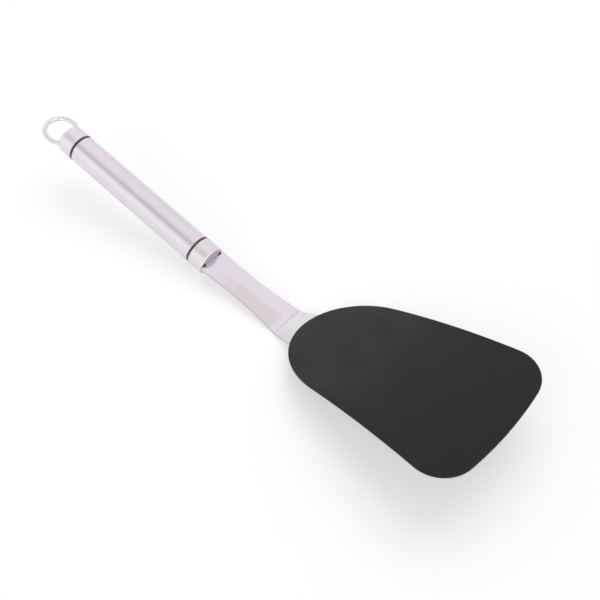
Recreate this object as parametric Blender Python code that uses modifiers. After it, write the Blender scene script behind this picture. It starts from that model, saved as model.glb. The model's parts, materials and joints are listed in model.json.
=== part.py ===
# Flexible turner: a steel tube handle with a hanging loop, a bent steel neck and a wide soft blade.
# The turner stands in its resting pose: it lies on the ferrule's front rim and on the outside of the
# neck's bend. +Z is up, +Y points from the handle to the blade, and +X is to the right of that.
# The origin is on the surface it rests on, at the middle of its length and width.
# Handle space is the same space before the piece is tilted: y = 0 is the ferrule's front face,
# and the tube's axis is x = z = 0.

import bpy
import bmesh
import math
from mathutils import Vector

MM = 0.001

# clearances and common finishing sizes
GAP = 0.3 * MM              # left between pieces that touch or hold each other
OVERRUN = 2.0 * MM          # how far a cutter runs past what it cuts
WELD = 0.001 * MM           # points closer than this are one point
TURN_STEPS = 48             # facets round a turned piece

# handle tube
TUBE_RADIUS = 9.5 * MM
TUBE_WALL = 0.8 * MM
TUBE_LENGTH = 103.7 * MM
TUBE_EDGE = 0.15 * MM

# end fittings: both are drawn cups a little wider than the tube
FITTING_RADIUS = 9.7 * MM
FITTING_WALL = 1.0 * MM
FITTING_EDGE = 0.2 * MM
FERRULE_LENGTH = 10.95 * MM
FERRULE_FACE = 1.5 * MM
FERRULE_RIM = 0.7 * MM
SLOT_HALF_WIDTH = 7.6 * MM
SLOT_END_RADIUS = 1.9 * MM
CAP_LENGTH = 12.7 * MM
CAP_END_WALL = 1.2 * MM
CAP_SHOULDER = 3.8 * MM
CAP_DOME = 0.5 * MM

# nylon plugs: each shows only its flange, as a black band round the handle
BAND_WIDTH = 1.1 * MM
BAND_RECESS = 0.1 * MM
TAIL_PLUG_IN_TUBE = 11.0 * MM
TAIL_PLUG_IN_CAP = 9.3 * MM
TAIL_PLUG_SLEEVE = 1.4 * MM
FRONT_PLUG_IN_TUBE = 20.0 * MM

# hanging loop, one bent wire
WIRE_RADIUS = 1.6 * MM
LOOP_RADIUS = 10.3 * MM
LOOP_REACH = 19.85 * MM     # from the middle of the rear band to the middle of the loop
LOOP_OPEN_ANGLE = math.radians(58)   # where the round part ends, from the handle's axis
LOOP_RUN = 3.3 * MM         # straight wire that runs in through the cap's shoulder
LOOP_LEG_BEND = 4.0 * MM
LOOP_LEG = 6.2 * MM         # straight leg in the plug
LOOP_STEPS = 40

# neck, one steel strip: tang, visible strip, bend and spade under the blade
NECK_THICKNESS = 2.0 * MM
NECK_HEIGHT = 2.1 * MM      # the strip's top face above the tube's axis, in the ferrule
NECK_RISE = math.radians(3.3)   # the strip's slope in front of the ferrule
RISE_START = 1.5 * MM
RISE_RADIUS = 25.0 * MM
NECK_EDGE = 0.3 * MM
TANG_LENGTH = 30.0 * MM
TANG_HALF_WIDTH = 5.0 * MM
SHOULDER_HALF_WIDTH = 9.8 * MM
SHOULDER_RADIUS = 1.0 * MM
NOTCH_WIDTH = 3.2 * MM      # round notch beside the tang, so that the shoulder seats square
NOTCH_DEPTH = 0.9 * MM
WAIST_HALF_WIDTH = 8.93 * MM
WAIST_DISTANCE = 23.0 * MM
BEND_HALF_WIDTH = 11.55 * MM
SPADE_HALF_WIDTH = 13.5 * MM
BEND_DISTANCE = 63.7 * MM   # from the ferrule to the crease
BEND_RADIUS = 7.0 * MM
BEND_ANGLE = math.radians(31.8)     # slope past the crease, from the handle's axis
SPADE_LENGTH = 43.0 * MM    # from the crease to the spade's round end
OUTLINE_STEPS = 12

# pin that locks the tang in the front plug
PIN_RADIUS = 1.5 * MM
PIN_DISTANCE = 22.0 * MM    # behind the ferrule's face
PIN_STEPS = 32

# blade: soft cover round a spring steel sheet, measured from the crease
BLADE_HEEL = 11.0 * MM
BLADE_TIP = 154.6 * MM
BLADE_HALF_WIDTH = 47.5 * MM
BLADE_HEEL_RADIUS = 37.2 * MM        # across; the heel is half an ellipse
BLADE_HEEL_STRETCH = 1.357           # the ellipse's length over its width
BLADE_FLARE = math.radians(8.1)
BLADE_CORNER = 20.3 * MM
BLADE_FRONT_RISE = 5.0 * MM
BLADE_TIP_ANGLE = math.radians(14.2)   # slope at the tip, from the handle's axis
COVER_BOTTOM = -0.55 * MM   # heights over the neck's top face
COVER_TOP = 1.65 * MM
COVER_EDGE = 0.8 * MM
CORE_BOTTOM = 0.3 * MM
CORE_THICKNESS = 0.5 * MM
CORE_INSET = 7.0 * MM       # soft rim round the steel sheet
BOSS_MARGIN = 4.5 * MM      # soft material round the spade
BOSS_SKIN = 1.0 * MM
BOSS_EDGE = 0.9 * MM
BOSS_CORNER = 2.5 * MM      # width that the rounded corner takes between heel and side
BOSS_SINK = 0.35 * MM       # how far the boss reaches into the cover that it is one with

ARC_STEPS = 14
BOW_STEP = 4.0 * MM         # length of one flat stretch of the bowed blade
BEND_STEPS = 12
RISE_STEPS = 3

# places along the handle, measured back from the ferrule's face
FRONT_BAND = FERRULE_LENGTH + GAP + BAND_WIDTH / 2
REAR_BAND = FRONT_BAND + BAND_WIDTH + 2 * GAP + TUBE_LENGTH
CAP_MOUTH = REAR_BAND + BAND_WIDTH / 2 + GAP
LOOP_CENTRE = REAR_BAND + LOOP_REACH
PLUG_RADIUS = min(TUBE_RADIUS - TUBE_WALL, FITTING_RADIUS - FITTING_WALL) - GAP

# the neck's path: its top face is flat in the ferrule, rises a little, bends up at the crease, runs
# straight under the blade and bows over
RISE_END = RISE_START + RISE_RADIUS * NECK_RISE
BEND_SETBACK = BEND_RADIUS * math.tan((BEND_ANGLE - NECK_RISE) / 2)
BEND_START = BEND_DISTANCE - BEND_SETBACK
BEND_END = BEND_START + BEND_RADIUS * (BEND_ANGLE - NECK_RISE)
FLAT_END = BEND_END + SPADE_LENGTH - BEND_SETBACK
BOW_END = BEND_END + BLADE_TIP - BEND_SETBACK

# each curved stretch: where it starts and ends, and its slope there
CURVES = [
    (RISE_START, RISE_END, 0.0, NECK_RISE),
    (BEND_START, BEND_END, NECK_RISE, BEND_ANGLE),
    (FLAT_END, BOW_END, BEND_ANGLE, BLADE_TIP_ANGLE),
]


def past_crease(distance):
    """Turns a distance from the crease into a length along the neck's top face."""
    return BEND_END + distance - BEND_SETBACK


def slope(along):
    """The path's angle to the handle's axis."""
    angle = 0.0
    for start, end, before, after in CURVES:
        if along > start:
            angle = before + (after - before) * min((along - start) / (end - start), 1)
    return angle


def path_point(along):
    """The point of the neck's top face, in handle space, as (y, z)."""
    y = 0.0
    z = NECK_HEIGHT
    reached = 0.0
    for start, end, before, after in CURVES:
        straight = min(along, start) - reached
        y += straight * math.cos(before)
        z += straight * math.sin(before)
        if along <= start:
            return y, z
        radius = (end - start) / (after - before)
        here = slope(min(along, end))
        y += radius * (math.sin(here) - math.sin(before))
        z += radius * (math.cos(before) - math.cos(here))
        if along <= end:
            return y, z
        reached = end
    straight = along - reached
    return y + straight * math.cos(BLADE_TIP_ANGLE), z + straight * math.sin(BLADE_TIP_ANGLE)


def bent(point):
    """Moves a point of a flat blank, (x, length along, height), into handle space."""
    y, z = path_point(point.y)
    angle = slope(point.y)
    return Vector((point.x, y - point.z * math.sin(angle), z + point.z * math.cos(angle)))


# the resting pose: a straight line touches the ferrule's rim and the outside of the bend from below
RIM_CENTRE = Vector((-FERRULE_RIM, FERRULE_RIM - FITTING_RADIUS))
BEND_CENTRE = Vector(path_point(BEND_START))
BEND_CENTRE += BEND_RADIUS * Vector((-math.sin(NECK_RISE), math.cos(NECK_RISE)))
BEND_OUTSIDE = BEND_RADIUS + NECK_THICKNESS
SPAN = BEND_CENTRE - RIM_CENTRE
REST_TILT = math.atan2(SPAN.y, SPAN.x) - math.asin((BEND_OUTSIDE - FERRULE_RIM) / SPAN.length)
TILT_SIN = math.sin(REST_TILT)
TILT_COS = math.cos(REST_TILT)
REST_LIFT = FERRULE_RIM + RIM_CENTRE.x * TILT_SIN - RIM_CENTRE.y * TILT_COS
TAIL_END = -(LOOP_CENTRE + LOOP_RADIUS) * TILT_COS - WIRE_RADIUS
TIP = bent(Vector((0, past_crease(BLADE_TIP), COVER_BOTTOM + COVER_EDGE)))
TIP_END = TIP.y * TILT_COS + TIP.z * TILT_SIN
REST_SHIFT = -(TAIL_END + TIP_END) / 2


def clear_scene():
    for thing in list(bpy.data.objects):
        bpy.data.objects.remove(thing, do_unlink=True)


def new_collection(name):
    made = bpy.data.collections.new(name)
    bpy.context.scene.collection.children.link(made)
    return made


def new_material(name, colour, roughness, metallic):
    made = bpy.data.materials.new(name)
    made.use_nodes = True
    shader = made.node_tree.nodes["Principled BSDF"]
    shader.inputs["Base Color"].default_value = (*colour, 1)
    shader.inputs["Roughness"].default_value = roughness
    shader.inputs["Metallic"].default_value = metallic
    return made


clear_scene()
PARTS = new_collection("flexible_turner")
CUTTERS = new_collection("cutters")

REST = bpy.data.objects.new("resting_pose", None)
PARTS.objects.link(REST)
REST.location = (0, REST_SHIFT, REST_LIFT)
REST.rotation_euler = (-REST_TILT, 0, 0)

SATIN_STEEL = new_material("satin_steel", (0.78, 0.76, 0.78), 0.32, 1.0)
POLISHED_STEEL = new_material("polished_steel", (0.82, 0.80, 0.82), 0.12, 1.0)
SPRING_STEEL = new_material("spring_steel", (0.60, 0.60, 0.62), 0.35, 1.0)
BLACK_NYLON = new_material("black_nylon", (0.02, 0.02, 0.02), 0.45, 0.0)
BLACK_SILICONE = new_material("black_silicone", (0.04, 0.04, 0.042), 0.55, 0.0)


def add_piece(name, mesh, material):
    piece = bpy.data.objects.new(name, mesh)
    PARTS.objects.link(piece)
    piece.parent = REST
    mesh.materials.clear()
    mesh.materials.append(material)
    return piece


def add_cutter(name, mesh, parent=None):
    cutter = bpy.data.objects.new(name, mesh)
    CUTTERS.objects.link(cutter)
    cutter.parent = parent
    cutter.hide_render = True
    cutter.display_type = "WIRE"
    return cutter


def boolean(piece, other, operation):
    step = piece.modifiers.new(other.name, "BOOLEAN")
    step.operation = operation
    step.object = other


def soften(piece, width, segments, angle=math.radians(50)):
    step = piece.modifiers.new("edges", "BEVEL")
    step.width = width
    step.segments = segments
    step.limit_method = "ANGLE"
    step.angle_limit = angle


def arc(centre_x, centre_y, radius, start, end, steps):
    """Points on an arc, both ends included; the angles run from +x."""
    points = []
    for step in range(steps + 1):
        angle = start + (end - start) * step / steps
        points.append((centre_x + radius * math.cos(angle), centre_y + radius * math.sin(angle)))
    return points


def turned(name, profile, closed, distance, material):
    """A piece turned about the handle's axis; the profile holds (radius, forward) points."""
    mesh = bpy.data.meshes.new(name)
    shape = bmesh.new()
    corners = [shape.verts.new((radius, 0, forward)) for radius, forward in profile]
    for first, second in zip(corners, corners[1:]):
        shape.edges.new((first, second))
    if closed:
        shape.edges.new((corners[-1], corners[0]))
    shape.to_mesh(mesh)
    shape.free()
    piece = add_piece(name, mesh, material)
    piece.location = (0, -distance, 0)
    piece.rotation_euler = (-math.pi / 2, 0, 0)
    spin = piece.modifiers.new("turn", "SCREW")
    spin.axis = "Z"
    spin.steps = TURN_STEPS
    spin.render_steps = TURN_STEPS
    spin.use_merge_vertices = True
    spin.merge_threshold = WELD
    return piece


def make_handle_tube():
    outside = TUBE_RADIUS
    inside = TUBE_RADIUS - TUBE_WALL
    half = TUBE_LENGTH / 2
    edge = TUBE_EDGE
    profile = [
        (outside - edge, half), (outside, half - edge), (outside, edge - half), (outside - edge, -half),
        (inside, -half), (inside, half),
    ]
    turned("handle_tube", profile, True, (FRONT_BAND + REAR_BAND) / 2, SATIN_STEEL)


def slot_cutter(name, half_width, half_height, back, front, distance):
    """A flat slot on the level of the neck's strip, in handle space."""
    mesh = bpy.data.meshes.new(name)
    shape = bmesh.new()
    bmesh.ops.create_cube(shape, size=1)
    bmesh.ops.scale(shape, vec=(2 * half_width, front - back, 2 * half_height), verts=shape.verts)
    shape.to_mesh(mesh)
    shape.free()
    cutter = add_cutter(name, mesh, REST)
    cutter.location = (0, (front + back) / 2 - distance, NECK_HEIGHT - NECK_THICKNESS / 2)
    return cutter


def round_cutter(name, radius, length, place, along_handle):
    mesh = bpy.data.meshes.new(name)
    shape = bmesh.new()
    bmesh.ops.create_cone(
        shape, cap_ends=True, segments=PIN_STEPS, radius1=radius, radius2=radius, depth=length)
    shape.to_mesh(mesh)
    shape.free()
    cutter = add_cutter(name, mesh, REST)
    cutter.location = place
    if along_handle:
        cutter.rotation_euler = (math.pi / 2, 0, 0)
    return cutter


def make_ferrule():
    outside = FITTING_RADIUS
    inside = outside - FITTING_WALL
    rim = FERRULE_RIM
    rim_arc = arc(outside - rim, -rim, rim, math.pi / 2, 0, 5)
    profile = [(0, 0)] + rim_arc + [
        (outside, FITTING_EDGE - FERRULE_LENGTH), (outside - FITTING_EDGE, -FERRULE_LENGTH),
        (inside, -FERRULE_LENGTH), (inside, -FERRULE_FACE), (0, -FERRULE_FACE),
    ]
    ferrule = turned("ferrule", profile, False, 0, POLISHED_STEEL)
    half_height = NECK_THICKNESS / 2 + GAP
    slot = slot_cutter(
        "ferrule_slot", SLOT_HALF_WIDTH, half_height, -FERRULE_FACE - OVERRUN, OVERRUN, 0)
    boolean(ferrule, slot, "DIFFERENCE")
    for side, word in ((-1, "left"), (1, "right")):
        place = (side * (SLOT_HALF_WIDTH - SLOT_END_RADIUS / 2), -FERRULE_FACE / 2,
                 NECK_HEIGHT - NECK_THICKNESS / 2)
        hole = round_cutter(
            "slot_end_" + word, SLOT_END_RADIUS, FERRULE_FACE + 2 * OVERRUN, place, True)
        boolean(ferrule, hole, "DIFFERENCE")


def make_front_plug():
    radius = PLUG_RADIUS
    flange = TUBE_RADIUS - BAND_RECESS
    half = BAND_WIDTH / 2
    front = FRONT_BAND - FERRULE_FACE - GAP
    back = -half - FRONT_PLUG_IN_TUBE
    profile = [
        (0, front), (radius, front), (radius, half), (flange, half), (flange, -half),
        (radius, -half), (radius, back), (0, back),
    ]
    plug = turned("front_plug", profile, False, FRONT_BAND, BLACK_NYLON)
    slot = slot_cutter(
        "plug_slot", TANG_HALF_WIDTH + GAP, NECK_THICKNESS / 2 + GAP,
        back - OVERRUN, front + OVERRUN, FRONT_BAND)
    boolean(plug, slot, "DIFFERENCE")
    bore = round_cutter(
        "plug_pin_bore", PIN_RADIUS + GAP, 2 * (radius + OVERRUN), (0, -PIN_DISTANCE, 0), False)
    boolean(plug, bore, "DIFFERENCE")


def make_tang_pin():
    mesh = bpy.data.meshes.new("tang_pin")
    shape = bmesh.new()
    bmesh.ops.create_cone(
        shape, cap_ends=True, segments=PIN_STEPS, radius1=PIN_RADIUS, radius2=PIN_RADIUS,
        depth=2 * (PLUG_RADIUS - GAP))
    shape.to_mesh(mesh)
    shape.free()
    pin = add_piece("tang_pin", mesh, SPRING_STEEL)
    pin.location = (0, -PIN_DISTANCE, 0)


def wire_path(extra):
    """The loop's centre line from the end of one leg round to the end of the other, as (x, y)."""
    heading = math.pi / 2 - LOOP_OPEN_ANGLE
    right = arc(0, -LOOP_CENTRE, LOOP_RADIUS, -math.pi / 2, heading, LOOP_STEPS // 2)
    x, y = right[-1]
    x -= LOOP_RUN * math.sin(heading)
    y += LOOP_RUN * math.cos(heading)
    right += arc(
        x + LOOP_LEG_BEND * math.cos(heading), y + LOOP_LEG_BEND * math.sin(heading),
        LOOP_LEG_BEND, math.pi + heading, math.pi, LOOP_STEPS // 8)
    x, y = right[-1]
    right.append((x, y + LOOP_LEG + extra))
    left = [(-x, y) for x, y in reversed(right[1:])]
    return left + right


def curve_to_mesh(curve, name):
    """Turns a curve's data into a closed mesh, with its caps welded on."""
    guide = bpy.data.objects.new(name, curve)
    PARTS.objects.link(guide)
    depsgraph = bpy.context.evaluated_depsgraph_get()
    mesh = bpy.data.meshes.new_from_object(guide.evaluated_get(depsgraph))
    bpy.data.objects.remove(guide, do_unlink=True)
    shape = bmesh.new()
    shape.from_mesh(mesh)
    bmesh.ops.remove_doubles(shape, verts=shape.verts, dist=WELD)
    bmesh.ops.recalc_face_normals(shape, faces=shape.faces)
    shape.to_mesh(mesh)
    shape.free()
    mesh.name = name
    return mesh


def wire_mesh(name, radius, extra):
    curve = bpy.data.curves.new(name, "CURVE")
    curve.dimensions = "3D"
    curve.bevel_depth = radius
    curve.bevel_resolution = 4
    curve.use_fill_caps = True
    points = wire_path(extra)
    spline = curve.splines.new("POLY")
    spline.points.add(len(points) - 1)
    for target, (x, y) in zip(spline.points, points):
        target.co = (x, y, 0, 1)
    return curve_to_mesh(curve, name)


def make_hanging_loop():
    loop = add_piece("hanging_loop", wire_mesh("hanging_loop", WIRE_RADIUS, 0), POLISHED_STEEL)
    loop.data.shade_smooth()


def make_tail_cap(wire_cutter):
    outside = FITTING_RADIUS
    inside = outside - FITTING_WALL
    end = CAP_DOME - CAP_LENGTH
    shoulder = arc(outside - CAP_SHOULDER, end + CAP_SHOULDER, CAP_SHOULDER, 0, -math.pi / 2, 6)
    flat_radius = outside - CAP_SHOULDER
    dome_radius = (flat_radius ** 2 + CAP_DOME ** 2) / (2 * CAP_DOME)
    dome_half = math.asin(flat_radius / dome_radius)
    dome = arc(0, dome_radius - CAP_LENGTH, dome_radius, dome_half - math.pi / 2, -math.pi / 2, 4)
    inner_shoulder = CAP_SHOULDER - FITTING_WALL
    floor = end + CAP_END_WALL
    inner = arc(inside - inner_shoulder, floor + inner_shoulder, inner_shoulder, -math.pi / 2, 0, 5)
    profile = [(0, floor)] + inner + [
        (inside, 0), (outside - FITTING_EDGE, 0), (outside, -FITTING_EDGE),
    ] + shoulder + dome[1:]
    cap = turned("tail_cap", profile, False, CAP_MOUTH, POLISHED_STEEL)
    boolean(cap, wire_cutter, "DIFFERENCE")


def make_tail_plug(wire_cutter):
    radius = PLUG_RADIUS
    flange = TUBE_RADIUS - BAND_RECESS
    half = BAND_WIDTH / 2
    front = half + TAIL_PLUG_IN_TUBE
    back = -half - TAIL_PLUG_IN_CAP
    profile = [
        (0, half), (radius - TAIL_PLUG_SLEEVE, half), (radius - TAIL_PLUG_SLEEVE, front),
        (radius, front), (radius, half), (flange, half), (flange, -half), (radius, -half),
        (radius, back), (0, back),
    ]
    plug = turned("tail_plug", profile, False, REAR_BAND, BLACK_NYLON)
    boolean(plug, wire_cutter, "DIFFERENCE")


def neck_outline(grow):
    """Right half of the strip's flat outline, tang to spade, as (x, length along)."""
    shoulder = SHOULDER_HALF_WIDTH + grow
    front = GAP - grow
    points = [(TANG_HALF_WIDTH + grow, -TANG_LENGTH - grow)]
    notch = ((NOTCH_WIDTH / 2) ** 2 + NOTCH_DEPTH ** 2) / (2 * NOTCH_DEPTH)
    foot = math.asin((notch - NOTCH_DEPTH) / notch)
    points += arc(
        TANG_HALF_WIDTH + NOTCH_WIDTH / 2, GAP + NOTCH_DEPTH - notch, notch - grow,
        math.pi - foot, foot, OUTLINE_STEPS // 2)
    points += arc(
        shoulder - SHOULDER_RADIUS, front + SHOULDER_RADIUS, SHOULDER_RADIUS, -math.pi / 2, 0, 4)
    for step in range(1, OUTLINE_STEPS):
        along = WAIST_DISTANCE * step / OUTLINE_STEPS
        share = 1 - along / WAIST_DISTANCE
        if along > front + SHOULDER_RADIUS:
            wide = WAIST_HALF_WIDTH + (SHOULDER_HALF_WIDTH - WAIST_HALF_WIDTH) * share ** 2
            points.append((wide + grow, along))
    for step in range(OUTLINE_STEPS + 1):
        share = step / OUTLINE_STEPS
        along = WAIST_DISTANCE + (BEND_DISTANCE - WAIST_DISTANCE) * share
        wide = WAIST_HALF_WIDTH + (BEND_HALF_WIDTH - WAIST_HALF_WIDTH) * share ** 2
        points.append((wide + grow, along))
    points.append((SPADE_HALF_WIDTH + grow, past_crease(BLADE_HEEL)))
    end = past_crease(SPADE_LENGTH) - SPADE_HALF_WIDTH
    points += arc(0, end, SPADE_HALF_WIDTH + grow, 0, math.pi / 2, OUTLINE_STEPS)
    return points


def heel_outline(inset, last):
    """Right half of the heel's ellipse, from the middle up to the angle last."""
    middle = past_crease(BLADE_HEEL) + BLADE_HEEL_STRETCH * BLADE_HEEL_RADIUS
    points = []
    for across, along in arc(0, 0, 1, -math.pi / 2, last, ARC_STEPS):
        outward = Vector((BLADE_HEEL_STRETCH * across, along)).normalized()
        point = Vector((across, BLADE_HEEL_STRETCH * along)) * BLADE_HEEL_RADIUS
        point -= outward * inset
        points.append((point.x, middle + point.y))
    return points


def blade_outline(inset):
    """Right half of the blade's flat outline, heel to tip, as (x, length along)."""
    tip = past_crease(BLADE_TIP)
    points = heel_outline(inset, -math.atan(BLADE_HEEL_STRETCH * math.tan(BLADE_FLARE)))
    front_radius = (BLADE_HALF_WIDTH ** 2 + BLADE_FRONT_RISE ** 2) / (2 * BLADE_FRONT_RISE)
    corner_x = BLADE_HALF_WIDTH - BLADE_CORNER
    front_centre = tip - front_radius
    corner_y = front_centre + math.sqrt((front_radius - BLADE_CORNER) ** 2 - corner_x ** 2)
    corner_end = math.atan2(corner_y - front_centre, corner_x)
    points += arc(
        corner_x, corner_y, BLADE_CORNER - inset, -BLADE_FLARE, corner_end, ARC_STEPS)
    points += arc(
        0, front_centre, front_radius - inset, corner_end, math.pi / 2, ARC_STEPS // 2)[1:]
    return points


def boss_outline():
    """Right half of the raised housing round the spade, which starts along the heel."""
    wide = SPADE_HALF_WIDTH + BOSS_MARGIN
    points = heel_outline(BOSS_EDGE, -math.acos((wide - BOSS_CORNER) / BLADE_HEEL_RADIUS))
    (before_x, before_y), (x, y) = points[-2:]
    heading = math.atan2(y - before_y, x - before_x)
    corner = (wide - x) / (1 - math.sin(heading))
    points += arc(
        x - corner * math.sin(heading), y + corner * math.cos(heading), corner,
        heading - math.pi / 2, 0, OUTLINE_STEPS // 3)[1:]
    end = past_crease(SPADE_LENGTH) - SPADE_HALF_WIDTH
    return points + arc(0, end, wide, 0, math.pi / 2, OUTLINE_STEPS)


def flat_blank(name, half_outline, bottom, top):
    """A flat plate with a mirrored outline, in flat space: x, length along, height."""
    left = [(-x, y) for x, y in reversed(half_outline) if x > WELD]
    points = half_outline + left
    curve = bpy.data.curves.new(name, "CURVE")
    curve.dimensions = "2D"
    curve.fill_mode = "BOTH"
    curve.extrude = (top - bottom) / 2
    spline = curve.splines.new("POLY")
    spline.points.add(len(points) - 1)
    spline.use_cyclic_u = True
    for target, (x, y) in zip(spline.points, points):
        target.co = (x, y, 0, 1)
    mesh = curve_to_mesh(curve, name)
    shape = bmesh.new()
    shape.from_mesh(mesh)
    bmesh.ops.translate(shape, verts=shape.verts, vec=(0, 0, (top + bottom) / 2))
    bmesh.ops.dissolve_limit(
        shape, angle_limit=math.radians(1), verts=shape.verts, edges=shape.edges)
    shape.to_mesh(mesh)
    shape.free()
    return mesh


def bend_blank(name, blank, material):
    """Reads a blank with its modifiers, cuts it into short stretches and bends it along the path."""
    depsgraph = bpy.context.evaluated_depsgraph_get()
    mesh = bpy.data.meshes.new_from_object(blank.evaluated_get(depsgraph))
    bpy.data.objects.remove(blank, do_unlink=True)
    mesh.name = name
    shape = bmesh.new()
    shape.from_mesh(mesh)
    cuts = []
    bow_steps = math.ceil((BOW_END - FLAT_END) / BOW_STEP)
    for (start, end, _, _), steps in zip(CURVES, (RISE_STEPS, BEND_STEPS, bow_steps)):
        cuts += [start + (end - start) * step / steps for step in range(steps + 1)]
    lowest = min(corner.co.y for corner in shape.verts)
    highest = max(corner.co.y for corner in shape.verts)
    for along in cuts:
        if lowest + GAP < along < highest - GAP:
            everything = list(shape.verts) + list(shape.edges) + list(shape.faces)
            bmesh.ops.bisect_plane(
                shape, geom=everything, dist=WELD, plane_co=(0, along, 0), plane_no=(0, 1, 0))
    for corner in shape.verts:
        corner.co = bent(corner.co)
    bmesh.ops.recalc_face_normals(shape, faces=shape.faces)
    shape.to_mesh(mesh)
    shape.free()
    mesh.shade_smooth()
    mesh.set_sharp_from_angle(angle=math.radians(35))
    return add_piece(name, mesh, material)


def make_neck():
    mesh = flat_blank("neck_blank", neck_outline(0), -NECK_THICKNESS, 0)
    blank = add_cutter("neck_blank", mesh)
    hole_mesh = bpy.data.meshes.new("tang_hole")
    shape = bmesh.new()
    bmesh.ops.create_cone(
        shape, cap_ends=True, segments=PIN_STEPS, radius1=PIN_RADIUS + GAP,
        radius2=PIN_RADIUS + GAP, depth=NECK_THICKNESS + 2 * OVERRUN)
    shape.to_mesh(hole_mesh)
    shape.free()
    hole = add_cutter("tang_hole", hole_mesh)
    hole.location = (0, -PIN_DISTANCE, -NECK_THICKNESS / 2)
    soften(blank, NECK_EDGE, 2)
    boolean(blank, hole, "DIFFERENCE")
    bend_blank("neck", blank, POLISHED_STEEL)


def make_blade_core():
    mesh = flat_blank(
        "core_blank", blade_outline(CORE_INSET), CORE_BOTTOM, CORE_BOTTOM + CORE_THICKNESS)
    bend_blank("blade_core", add_cutter("core_blank", mesh), SPRING_STEEL)


def make_blade_cover():
    mesh = flat_blank("cover_blank", blade_outline(0), COVER_BOTTOM, COVER_TOP)
    blank = add_cutter("cover_blank", mesh)
    soften(blank, COVER_EDGE, 3)
    boss_bottom = -NECK_THICKNESS - GAP - BOSS_SKIN
    boss_mesh = flat_blank("boss_blank", boss_outline(), boss_bottom, COVER_BOTTOM + BOSS_SINK)
    boss = add_cutter("boss_blank", boss_mesh)
    soften(boss, BOSS_EDGE, 3)
    boolean(blank, boss, "UNION")
    core = add_cutter("core_space", flat_blank(
        "core_space", blade_outline(CORE_INSET - GAP),
        CORE_BOTTOM - GAP, CORE_BOTTOM + CORE_THICKNESS + GAP))
    boolean(blank, core, "DIFFERENCE")
    spade = add_cutter("spade_space", flat_blank(
        "spade_space", neck_outline(GAP), -NECK_THICKNESS - GAP, GAP))
    boolean(blank, spade, "DIFFERENCE")
    bend_blank("blade_cover", blank, BLACK_SILICONE)


def main():
    wire_cutter = add_cutter(
        "wire_space", wire_mesh("wire_space", WIRE_RADIUS + GAP, GAP), REST)
    make_handle_tube()
    make_ferrule()
    make_front_plug()
    make_tang_pin()
    make_hanging_loop()
    make_tail_cap(wire_cutter)
    make_tail_plug(wire_cutter)
    make_neck()
    make_blade_core()
    make_blade_cover()


main()
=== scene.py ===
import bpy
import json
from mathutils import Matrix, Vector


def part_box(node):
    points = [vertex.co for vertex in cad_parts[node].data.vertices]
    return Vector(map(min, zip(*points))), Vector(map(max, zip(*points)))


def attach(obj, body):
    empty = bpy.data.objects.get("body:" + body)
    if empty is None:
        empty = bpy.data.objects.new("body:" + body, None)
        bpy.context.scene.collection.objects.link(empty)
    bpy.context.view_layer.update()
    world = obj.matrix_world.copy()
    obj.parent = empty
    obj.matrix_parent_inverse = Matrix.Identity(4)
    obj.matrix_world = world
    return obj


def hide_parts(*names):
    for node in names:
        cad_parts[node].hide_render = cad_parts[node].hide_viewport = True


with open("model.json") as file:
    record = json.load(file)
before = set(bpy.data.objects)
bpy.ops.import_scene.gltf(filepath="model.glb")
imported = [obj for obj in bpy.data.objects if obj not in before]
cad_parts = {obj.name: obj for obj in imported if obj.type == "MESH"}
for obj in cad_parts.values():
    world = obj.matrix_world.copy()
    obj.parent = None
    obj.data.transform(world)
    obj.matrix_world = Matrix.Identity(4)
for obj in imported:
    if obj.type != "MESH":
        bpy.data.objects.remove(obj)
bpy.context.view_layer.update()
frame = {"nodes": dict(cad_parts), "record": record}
print("frame loaded:", sorted(frame["nodes"]))

import json
import math

import bmesh
import bpy
from mathutils import Matrix, Quaternion, Vector

mm = 0.001

# how many flat steps draw each round
facets = {
    "turned": 160, "rod": 48, "edge": 4, "flange": 3, "bladeEdge": 6, "ferruleRim": 10, "capShoulder": 18,
    "capInside": 8, "capDome": 10, "loopRing": 48, "loopBend": 10, "wire": 32, "neckShoulder": 8,
    "neckSide": 80, "neckFlare": 20, "spadeEnd": 16, "bladeHeel": 44, "bladeSide": 24, "bladeCorner": 28,
    "bladeFront": 14,
}
sharp = {"plain": 40, "cut": 30, "strip": 35, "blade": 60}     # edges sharper than this, in degrees, show
axisRing = 0.4      # turned pieces end in a ring of this radius, which one flat face closes
overrun = 2.0       # how far a cutter reaches past what it cuts

# Every piece is drawn in handle space, in millimetres: y = 0 is the ferrule's front face, +y points to
# the blade, +z is up and the tube's axis is x = z = 0. The frame then says where handle space lies.
tube = {"radius": 9.5, "wall": 0.8, "length": 103.7, "edge": 0.3}
band = {
    "width": 1.1, "recess": 0.12, "edge": 0.12,
    "gap": 0.3,          # from the band to the steel beside it, and round plugs, tang and pin
    "clear": 0.03,       # the flange stays this far from the steel beside it
}
ferrule = {
    "radius": 9.695, "wall": 1.0, "length": 10.95, "face": 1.5, "rim": 1.1, "mouthEdge": 0.2,
    "slotHalfWidth": 7.6, "slotEndRadius": 1.9,
}
frontBandAt = ferrule["length"] + band["gap"] + band["width"] / 2     # behind the ferrule's face
rearBandAt = frontBandAt + band["width"] + 2 * band["gap"] + tube["length"]
capMouthAt = rearBandAt + band["width"] / 2 + band["gap"]


def findHandleSpace():
    # the record's hanging_hole mount looks along the hanging loop's hole, which gives the handle's tilt
    mount = next(m for m in frame["record"]["mounts"] if m["name"] == "hanging_hole")
    up = Vector(mount["axis"])
    forward = Vector((0, up.z, -up.y))
    low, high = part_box("handle_tube")
    origin = (low + high) / 2 + forward * (frontBandAt + rearBandAt) / 2 * mm
    axes = Matrix((Vector((1, 0, 0)), forward, up)).transposed().to_4x4()
    return Matrix.Translation(origin) @ axes


handleSpace = findHandleSpace()


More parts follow.
